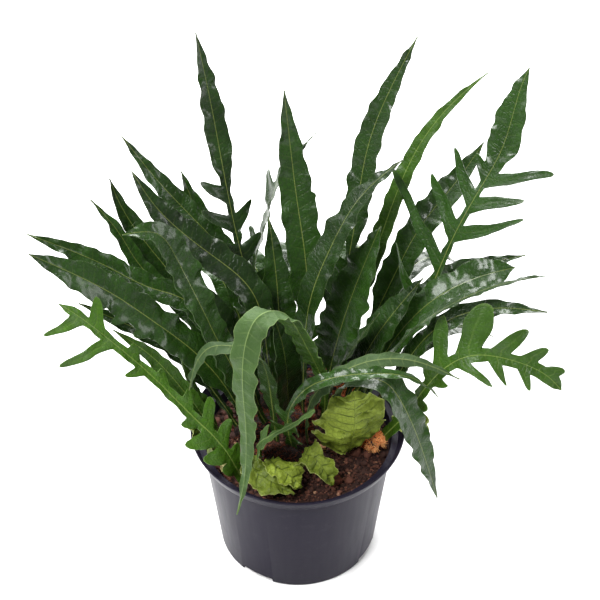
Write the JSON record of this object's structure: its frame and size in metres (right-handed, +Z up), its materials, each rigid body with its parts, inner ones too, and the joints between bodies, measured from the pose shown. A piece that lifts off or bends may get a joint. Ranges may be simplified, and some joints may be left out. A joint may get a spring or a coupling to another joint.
{
  "type": "potted fern",
  "caption": "Potted fern with long strap-like and lobed fronds rising from furry creeping rhizomes in a plain round nursery pot.",
  "frame": {"origin": "centre of the pot's flat base, on the surface that it stands on", "axes": "+Z up the pot, -Y towards the side with the arching pale fronds, +X to the right as seen from that side"},
  "size_m": [0.3828, 0.278, 0.4021],
  "materials": {
    "pot_plastic": "satin",
    "potting_soil": "rough moist peat and bark crumbs",
    "rhizome_scales": "furry orange-brown scales",
    "cut_stalk": "dry cut stalk",
    "pine_bark": "rough",
    "old_frond": "waxy, semi-gloss",
    "young_frond": "satin",
    "base_leaf": "satin"
  },
  "bodies": {
    "root": {"back_frond_1": "old_frond", "back_frond_2": "old_frond", "back_frond_3": "old_frond", "back_frond_4": "old_frond", "back_frond_5": "old_frond", "back_frond_6": "old_frond", "bark_chip_1": "pine_bark", "bark_chip_2": "pine_bark", "bark_chip_3": "pine_bark", "base_leaf_crossing": "base_leaf", "base_leaf_front": "base_leaf", "base_leaf_left": "base_leaf", "base_leaf_middle": "base_leaf", "base_leaf_outer": "base_leaf", "base_leaf_right": "base_leaf", "cut_stub": "cut_stalk", "front_frond_1": "young_frond", "front_frond_2": "old_frond", "front_frond_3": "old_frond", "front_frond_4": "old_frond", "front_frond_5": "old_frond", "front_frond_6": "young_frond", "inner_frond_1": "old_frond", "inner_frond_2": "old_frond", "inner_frond_3": "old_frond", "inner_frond_4": "old_frond", "inner_frond_5": "old_frond", "left_frond_1": "old_frond", "left_frond_2": "old_frond", "left_frond_3": "old_frond", "left_frond_4": "old_frond", "left_frond_5": "old_frond", "left_frond_6": "old_frond", "left_frond_7": "old_frond", "left_frond_8": "old_frond", "left_frond_9": "old_frond", "pot": "pot_plastic", "potting_soil": "potting_soil", "rhizome_back": "rhizome_scales", "rhizome_far": "rhizome_scales", "rhizome_front": "rhizome_scales", "rhizome_middle": "rhizome_scales", "rhizome_right": "rhizome_scales", "right_frond_1": "old_frond", "right_frond_2": "old_frond", "right_frond_3": "old_frond", "right_frond_4": "old_frond", "right_frond_5": "young_frond", "tall_frond_1": "old_frond", "tall_frond_2": "old_frond", "tall_frond_3": "old_frond", "tall_frond_4": "young_frond", "tall_frond_5": "old_frond", "tall_frond_6": "old_frond", "tall_frond_7": "old_frond", "tall_frond_8": "old_frond", "tall_frond_9": "old_frond", "young_frond_1": "young_frond", "young_frond_2": "young_frond", "young_frond_3": "young_frond"}
  },
  "joints": []
}
